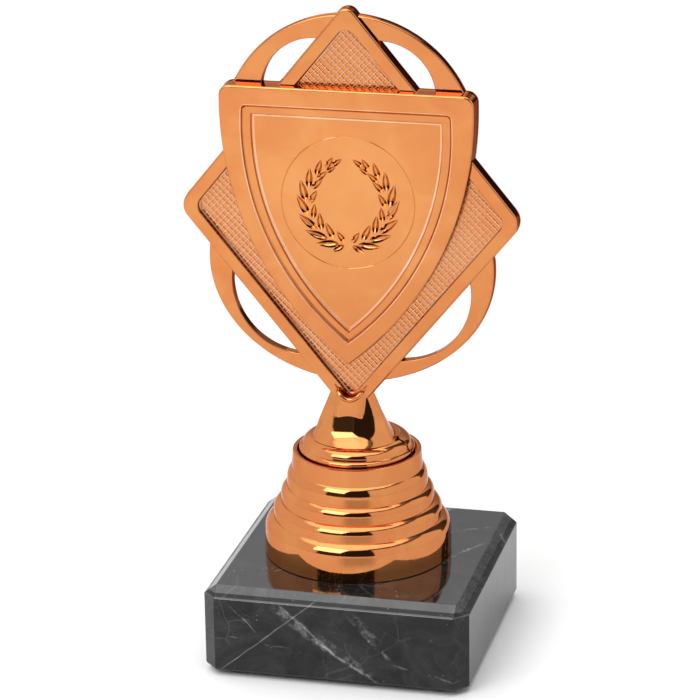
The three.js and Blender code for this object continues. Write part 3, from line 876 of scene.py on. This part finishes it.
def make_leaf(base_degrees, lean_degrees, length, offset, side):
    """One leaf as the tool that engraves it: wide and deep beyond a short ramp at its base,
    pointed and shallow at its tip, with its valley nearer to its lower left side."""
    share = (base_degrees - TWIG_ANGLES[0]) / (TWIG_ANGLES[1] - TWIG_ANGLES[0])
    reach = TWIG_RADII[0] + (TWIG_RADII[1] - TWIG_RADII[0]) * share + offset
    base_angle = math.radians(base_degrees)
    heading = base_angle + math.pi / 2 - math.radians(lean_degrees)
    base = Vector((math.cos(base_angle), math.sin(base_angle))) * reach
    forward = Vector((math.cos(heading), math.sin(heading)))
    across = Vector((-forward.y, forward.x))
    half_width = 0.25 + 0.11 * length
    depth = 0.32 + 0.045 * length
    valley = -LEAF_VALLEY if across.y + 0.5 * side * across.x > 0 else LEAF_VALLEY
    loops = []
    for i in range(LEAF_STATIONS + 1):
        t = i / LEAF_STATIONS
        spine = base + forward * length * t
        swell = math.sin(math.pi * (0.02 + 0.96 * t) ** 0.72)
        half = half_width * swell ** 0.85 + 0.01
        ramp = 0.06 + 0.75 * length * t
        deep = min(ramp, depth * min(1, 1.6 * swell) * (1.3 - 0.7 * t))
        section = []
        for k in range(LEAF_RIBS + 1):
            s = -1 + 2 * k / LEAF_RIBS
            from_valley = (s - valley) / (1 - valley if s > valley else -1 - valley)
            section.append((s, deep * (1 - from_valley ** 1.7)))
        loop = []
        for s, sunk in section + [(1, -0.05), (-1, -0.05)]:
            point = spine + across * half * s
            loop.append((side * point.x, FIELD_FRONT + sunk, EMBLEM_CENTRE + point.y))
        loops.append(loop)
    return lofted("leaf", loops)


def make_hairline(steps=200):
    """The fine circle round the wreath, as the tool that engraves it."""
    section = ellipse((EMBLEM_RADIUS, 0), (HAIRLINE_RADIUS, HAIRLINE_RADIUS), 10)
    loops = []
    for x, z in ellipse((0, 0), (1, 1), steps):
        loops.append([(r * x, FIELD_FRONT + y - 0.02, EMBLEM_CENTRE + r * z) for r, y in section])
    return lofted("hairline", loops, ring=True)


def make_shield():
    field_step = hole_profile(*FIELD_RECESS) + [(FIELD_STEP_WIDTH, FIELD_FRONT)]
    loops = standing(shield(*SHIELD), side_profile(SHIELD_FRONT, SHIELD_ROUNDING))
    loops += standing(shield(*BAND), hole_profile(*BAND_RECESS))
    loops += standing(shield(*FIELD), field_step)
    plate = lofted("shield", loops)
    for side in (1, -1):
        for leaf in OUTER_LEAVES:
            cut(plate, make_leaf(*leaf, 0, side))
        for leaf in INNER_LEAVES:
            cut(plate, make_leaf(*leaf, INNER_LEAF_OFFSET, side))
    return cut(plate, make_hairline())


def neck_section(height):
    """The four values of a neck section at a height, on a smooth curve through the list."""
    last = len(NECK_SECTIONS) - 1
    position = (height - NECK_BASE) / (NECK_TOP - NECK_BASE) * last
    index = min(max(int(position), 0), last - 1)
    t = position - index
    values = []
    for column in zip(*NECK_SECTIONS):
        padded = [2 * column[0] - column[1], *column, 2 * column[-1] - column[-2]]
        a, b, c, d = padded[index:index + 4]
        cubic = 2 * a - 5 * b + 4 * c - d + t * (3 * (b - c) + d - a)
        values.append(b + t / 2 * (c - a + t * cubic))
    return values


def fade(value):
    """Runs smoothly from 0 to 1 while the value runs from -1 to 1."""
    t = min(max((value + 1) / 2, 0), 1)
    return t * t * (3 - 2 * t)


def neck_front(x, height):
    """Y of the neck's front: an elliptical curve with the tongue standing out of it."""
    half_width, front, middle, _ = neck_section(height)
    share = min(abs(x) / half_width, 1)
    y = middle + (front - middle) * math.sqrt(1 - share * share)
    rounded_end = height + 0.1 * x * x
    tongue = fade((TONGUE_HALF_WIDTH - abs(x)) / TONGUE_SIDE_FADE)
    tongue *= fade((rounded_end - TONGUE_END) / TONGUE_END_FADE)
    tongue *= fade((TONGUE_TOP - height) / TONGUE_TOP_FADE)
    return y - max(0, y - TONGUE_FRONT) * tongue


def lip_points(steps):
    """X and Z of the lip's parabola, from left to right."""
    points = []
    for i in range(steps + 1):
        share = 2 * i / steps - 1
        points.append((LIP_HALF_WIDTH * share, LIP_LOW + (LIP_HIGH - LIP_LOW) * share ** 2))
    return points


def make_neck(rows=90):
    loops = []
    for i in range(rows + 1):
        height = NECK_BASE + (NECK_TOP - NECK_BASE) * i / rows
        half_width, _, middle, back = neck_section(height)
        loop = []
        for x, y in ellipse((0, 0), (half_width, back - middle), 240):
            loop.append((x, y + middle if y > 0 else neck_front(x, height), height))
        loops.append(loop)
    neck = lofted("neck", loops)
    panel = inset(rhombus(*DIAMOND_PANEL), -0.01)
    just_below = PANEL_FLOOR + 0.02
    cut(neck, upright("panel_cutter", panel, [(0, just_below), (0, IN_FRONT_OF_ALL)]))
    above = NECK_TOP + 1.4
    mouth = lip_points(40) + [(LIP_HALF_WIDTH, above), (-LIP_HALF_WIDTH, above)]
    cut(neck, upright("mouth_cutter", mouth, [(0, DIAMOND_FRONT), (0, IN_FRONT_OF_ALL)]))
    return add(neck, make_lip())


def make_lip(steps=60):
    """The rounded U-shaped edge where the panel's recess breaks through the neck's front."""
    spine = [Vector((x, min(neck_front(x, z), DIAMOND_FRONT), z)) for x, z in lip_points(steps)]
    loops = []
    for i, point in enumerate(spine):
        heading = (spine[min(i + 1, steps)] - spine[max(i - 1, 0)]).normalized()
        side = heading.cross(Vector((0, 1, 0))).normalized()
        other = side.cross(heading)
        radius = LIP_RADIUS * min(1, 0.3 + 5 * min(i, steps - i) / steps)
        circle = ellipse((0, 0), (radius, radius), 20)
        loops.append([point + side * a + other * b for a, b in circle])
    return lofted("lip", loops)


def foot_slope():
    """The foot's outside, from its edge up to its cove: a rounded ledge and a shoulder."""
    slope = shoulder(FOOT_RADIUS, FOOT_EDGE, FOOT_LEDGE[1], FOOT_LEDGE[0], 8)
    slope += shoulder(FOOT_STEP[0], FOOT_STEP[1], FOOT_SHOULDER[1], FOOT_SHOULDER[0])
    return slope


def make_foot():
    bottom = SOCKET_FLOOR + SEAT_GAP
    profile = [(0, bottom), (FOOT_RADIUS - 0.1, bottom), (FOOT_RADIUS, bottom + 0.1)]
    profile += foot_slope()
    radii = (FOOT_SHOULDER[0] - FOOT_TOP[0], FOOT_TOP[1] - FOOT_SHOULDER[1])
    cove = arc((FOOT_SHOULDER[0], FOOT_TOP[1]), radii, 1.5 * math.pi, math.pi, 6)
    profile += cove[1:] + [(0, FOOT_TOP[1])]
    foot = turned("foot", profile, FINE_ROUND_STEPS)
    below = SOCKET_FLOOR - 1
    return cut(foot, hexagonal("nut_pocket", NUT_POCKET_FLATS, below, NUT_POCKET_TOP))


def figure_finish(centre, normal):
    """A pale finish paints a highlight along the steps round the shield's field and the
    band's edge, on the ridges between the waffle's pits and on its pit walls that face up.
    A darker finish paints shade on the walls that face +X, and under the ridges."""
    x, y, z = centre
    inside_shield = shield_depth(x, z, SHIELD)
    in_waffle = PANEL_FLOOR - 0.2 < y < 0 and panel_depth(x, z) > 0.1
    if in_waffle and inside_shield < 0:
        # Painted shade on the pit walls that face down.
        if normal.z < -0.2:
            return PAINTED_SHADE
        # Painted highlight on the ridges and on the pit walls that face up.
        on_ridge = y < PANEL_FLOOR + PIT_PROFILE[1][1]
        return PAINTED_HIGHLIGHT if on_ridge or normal.z > 0.2 else WAFFLE
    on_field_step = 0.12 < shield_depth(x, z, FIELD) < 0.6
    on_band_edge = -0.24 < shield_depth(x, z, BAND) < 0
    # Painted highlight along the field's step and the band's edge.
    if y < FIELD_FRONT - 0.002 and (on_field_step or on_band_edge):
        return PAINTED_HIGHLIGHT
    # Painted shade on the walls that face +X.
    right_wall = normal.x > 0.25 and abs(normal.y) < 0.35
    return PAINTED_SHADE if right_wall and z > NECK_TOP and inside_shield < 0.3 else PLATED


def make_rib():
    """The mould's parting line, left as a thin rib down the foot at its +X side."""
    inner, below = FOOT_RADIUS / 2, FOOT_EDGE - 1
    outline = [(inner, below), (FOOT_RADIUS + 0.03, below)]
    outline += [(x + 0.06, z + 0.08) for x, z in foot_slope()]
    outline += [(FOOT_TOP[0] + 0.1, FOOT_TOP[1] + 0.3), (inner, FOOT_TOP[1] + 0.3)]
    return upright("rib", outline, [(0, PLATE_BACK - 0.12), (0, PLATE_BACK + 0.12)])


def make_figure(materials):
    figure = add(make_diamond(), make_ring())
    add(figure, make_foot())
    add(figure, make_rib())
    add(figure, make_neck())
    cut(figure, waffle_pits())
    add(figure, make_shield())
    cut(figure, cylinder("bolt_pocket", BORE_RADIUS, SOCKET_FLOOR - 1, BOLT_POCKET_TOP))
    figure.name = "relief_figure"
    finish_piece(figure, materials, "figure", BLOCK_TOP, crease=26, choose=figure_finish)


# ------------------------------------------------------- pads and fasteners


def make_pads(material):
    for node in sorted(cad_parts):
        if not node.startswith("base_pad"):
            continue
        low, high = box_mm(node)
        radius = (high.x - low.x) / 2
        top = high.z
        pad = turned(f"felt_{node}", [
            (0, 0), (radius - 0.25, 0), (radius - 0.07, 0.07), (radius, 0.25),
            (radius, top - 0.15), (radius - 0.15, top), (0, top),
        ], SMALL_ROUND_STEPS)
        pad.data.transform(Matrix.Translation(((low.x + high.x) / 2, (low.y + high.y) / 2, 0)))
        finish_piece(pad, [material], node, crease=60)


def chamfered_hexagon(name, across_flats, low, high, both_ends):
    """A hexagon whose corners are turned off at 30 degrees."""
    body = hexagonal(name, across_flats, low, high)
    inner = across_flats / 2 * 0.97
    outer = across_flats / math.sqrt(3) * 1.02
    drop = (outer - inner) * math.tan(math.radians(30))
    profile = [(0, low), (inner, low), (outer, low + drop)]
    profile += [(outer, high - drop), (inner, high)] if both_ends else [(outer, high)]
    profile.append((0, high))
    return combine(body, turned("turning", profile, 96), "INTERSECT")


def make_bolt(material):
    low, high = box_mm("clamp_bolt")
    bearing = low.z + BOLT_HEAD_HEIGHT
    head = chamfered_hexagon("hex_bolt", HEX_FLATS, low.z, bearing, False)
    height = bearing + PLAIN_SHANK
    profile = [(0, bearing - 1), (THREAD_CREST, bearing - 1), (THREAD_CREST, height)]
    while height < high.z - 1.5 * THREAD_PITCH:
        profile.append((THREAD_CORE, height + THREAD_PITCH / 2))
        profile.append((THREAD_CREST, height + THREAD_PITCH))
        height += THREAD_PITCH
    profile += [(THREAD_CORE - 0.3, high.z), (0, high.z)]
    add(head, turned("shank", profile, SMALL_ROUND_STEPS))
    finish_piece(head, [material], "clamp_bolt", crease=25)


def make_washers(material):
    for node, edge in (("flat_washer", 0.12), ("spring_washer", 0.08)):
        low, high = box_mm(node)
        radius = (high.y - low.y) / 2
        washer = turned(f"plated_{node}", [
            (radius - edge, low.z), (radius, low.z + edge), (radius, high.z - edge),
            (radius - edge, high.z), (WASHER_HOLE + edge, high.z), (WASHER_HOLE, high.z - edge),
            (WASHER_HOLE, low.z + edge), (WASHER_HOLE + edge, low.z),
        ], 2 * SMALL_ROUND_STEPS)
        if node == "spring_washer":
            under, over, outside = low.z - 1, high.z + 1, radius + 1
            outline = [(0, under), (outside, under), (outside, over), (0, over)]
            cut(washer, upright("slit", outline, [(0, SPRING_SLIT / 2), (0, -SPRING_SLIT / 2)]))
        finish_piece(washer, [material], node, crease=25)


def make_nut(material):
    low, high = box_mm("captive_nut")
    nut = chamfered_hexagon("hex_nut", HEX_FLATS, low.z, high.z, True)
    cut(nut, cylinder("nut_bore", NUT_BORE, low.z - 1, high.z + 1))
    finish_piece(nut, [material], "captive_nut", crease=25)


# ------------------------------------------------------------------- studio


def direction(azimuth, elevation):
    """A unit vector from the object, azimuth 0 to the front and growing to the right."""
    a, e = math.radians(azimuth), math.radians(elevation)
    return Vector((math.sin(a) * math.cos(e), -math.cos(a) * math.cos(e), math.sin(e)))


def set_camera():
    """The photograph's view."""
    azimuth, elevation, roll_degrees = CAMERA_ANGLES
    roll = math.radians(roll_degrees)
    back = direction(azimuth, elevation)
    right = direction(azimuth + 90, 0)
    up = back.cross(right)
    place = back * CAMERA_DISTANCE + right * CAMERA_SHIFT[0] + up * CAMERA_SHIFT[1]
    place.z += PAD_TOP
    turned_right = right * math.cos(roll) + up * math.sin(roll)
    turned_up = up * math.cos(roll) - right * math.sin(roll)
    data = bpy.data.cameras.new("camera")
    data.sensor_width = CAMERA_SENSOR
    data.lens = CAMERA_LENS
    camera = bpy.data.objects.new("camera", data)
    axes = Matrix((turned_right, turned_up, back)).transposed().to_4x4()
    camera.matrix_world = Matrix.Translation(place * MM) @ axes
    bpy.context.scene.collection.objects.link(camera)
    bpy.context.scene.camera = camera


def add_softbox(name, azimuth, elevation, distance, size, power):
    data = bpy.data.lights.new(name, "AREA")
    data.shape = "RECTANGLE"
    data.size, data.size_y = size
    data.energy = power
    light = bpy.data.objects.new(name, data)
    away = direction(azimuth, elevation)
    facing = away.to_track_quat("Z", "Y").to_matrix().to_4x4()
    light.matrix_world = Matrix.Translation(away * distance) @ facing
    light.visible_camera = False
    bpy.context.scene.collection.objects.link(light)


def make_world():
    """A white light tent with a dark opening in front, a dark gap at the right behind,
    a seam between its wall and its roof, and a duller back."""
    world = bpy.data.worlds.new("light_tent")
    world.use_nodes = True
    world.node_tree.nodes.clear()
    nodes = Nodes(world.node_tree)
    ray = nodes.node("ShaderNodeTexCoord").outputs["Generated"]
    x, y, z = nodes.node("ShaderNodeSeparateXYZ", {0: ray}).outputs
    to_degrees = 180 / math.pi
    wobble = nodes.math("MULTIPLY_ADD", nodes.noise(ray, 9, detail=3), 10.0, -5.0)
    azimuth = nodes.math("MULTIPLY", nodes.azimuth(x, y), to_degrees)
    azimuth = nodes.math("MULTIPLY_ADD", wobble, 0.3, azimuth)
    elevation = nodes.math("MULTIPLY", nodes.math("ARCSINE", z), to_degrees)

    def dark_part(part, height):
        sides, softness, top, darkness = part
        return nodes.product(nodes.between(azimuth, *sides, softness),
                             nodes.smooth(height, *top, darkness, 0.0))

    sloping = nodes.math("MULTIPLY_ADD", azimuth, -OPENING_SLOPE, elevation)
    uneven = nodes.math("ADD", elevation, wobble)
    sides, height, darkness = SEAM
    seam = nodes.product(nodes.between(azimuth, *sides), nodes.between(uneven, *height), darkness)
    dark = dark_part(OPENING, sloping)
    for part in (dark_part(LOW_LEFT, elevation), dark_part(GAP, elevation), seam):
        dark = nodes.math("MAXIMUM", dark, part)
    roof = nodes.smooth(elevation, *ROOF, 0.0, ROOF_LIGHT)
    back = nodes.product(nodes.smooth(y, 0.75, 1.0, 0.0, BACK_LOSS),
                         nodes.smooth(elevation, 35, 55, 1.0, 0.0))
    lit = nodes.math("SUBTRACT", nodes.math("ADD", WALL_LIGHT, roof), back)
    level = nodes.product(lit, nodes.math("MULTIPLY_ADD", dark, -0.97, 1.0))
    background = nodes.node("ShaderNodeBackground", {"Color": (1, 1, 1, 1), "Strength": level})
    nodes.node("ShaderNodeOutputWorld", {"Surface": background.outputs[0]})
    bpy.context.scene.world = world


def make_floor(material):
    reach = FLOOR_REACH
    corners = [(-reach, -reach, 0), (reach, -reach, 0), (reach, reach, 0), (-reach, reach, 0)]
    mesh = bpy.data.meshes.new("studio_floor")
    mesh.from_pydata(corners, [], [(0, 1, 2, 3)])
    mesh.materials.append(material)
    floor = bpy.data.objects.new("studio_floor", mesh)
    bpy.context.scene.collection.objects.link(floor)


set_camera()
make_world()
for softbox in SOFTBOXES:
    add_softbox(*softbox)
make_floor(floor_material())

bronze = [bronze_material(*finish) for finish in BRONZE_FINISHES]
zinc = zinc_material()
make_marble_base([marble_material(*finish) for finish in MARBLE_FINISHES])
make_riser(bronze[PLATED])
make_figure(bronze)
make_pads(felt_material())
make_bolt(zinc)
make_washers(zinc)
make_nut(zinc)

bpy.context.scene.view_settings.view_transform = "Standard"
